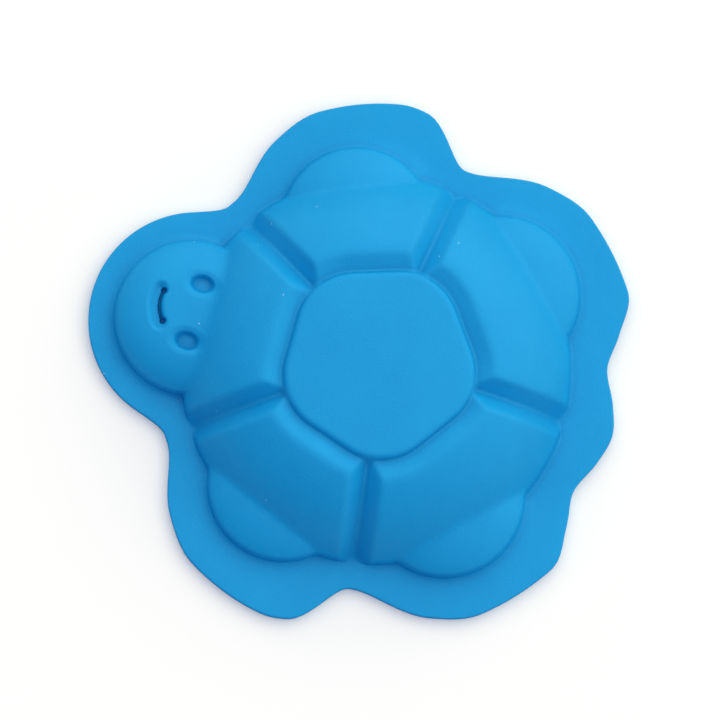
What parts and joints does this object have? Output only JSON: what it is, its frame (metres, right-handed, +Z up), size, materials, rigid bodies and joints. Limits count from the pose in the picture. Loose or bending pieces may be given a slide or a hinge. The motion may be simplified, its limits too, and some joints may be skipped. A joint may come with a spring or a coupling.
{
  "type": "sand mould",
  "caption": "Soft one-piece sand mould in the form of a turtle: a hollow domed shell with head and flippers on a flat scalloped flange, filled with sand and turned out.",
  "frame": {"origin": "middle of the bounding box on the flange's flat underside, where the mould lies on the ground mouth down", "axes": "+Z up through the dome, -Y towards the turtle's head, +Y towards its tail, X across the flippers"},
  "size_m": [0.1266, 0.1286, 0.0245],
  "materials": {
    "silicone": "satin moulded silicone, soft and even, with a fine dry bloom"
  },
  "bodies": {
    "root": {"mould_shell": "silicone"}
  },
  "joints": []
}
